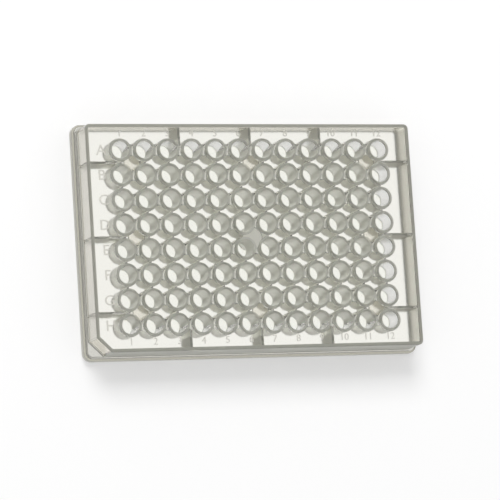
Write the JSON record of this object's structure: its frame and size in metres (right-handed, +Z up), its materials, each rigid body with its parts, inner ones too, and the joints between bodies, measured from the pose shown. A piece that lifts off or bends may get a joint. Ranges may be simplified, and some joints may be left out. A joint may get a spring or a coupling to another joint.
{
  "type": "well plate",
  "caption": "Shallow rectangular tray of round flat-bottomed wells in a regular grid, with a skirt, stepped base flange and one chamfered corner.",
  "frame": {"origin": "centre of the base, on the plane the plate stands on", "axes": "+Z up out of the well mouths, +X from column 1 to column 12, +Y from row H to row A"},
  "size_m": [0.1278, 0.0854, 0.0143],
  "materials": {
    "natural_polypropylene": "translucent natural polypropylene, satin moulded surface"
  },
  "bodies": {
    "root": {"well_plate": "natural_polypropylene"}
  },
  "joints": []
}
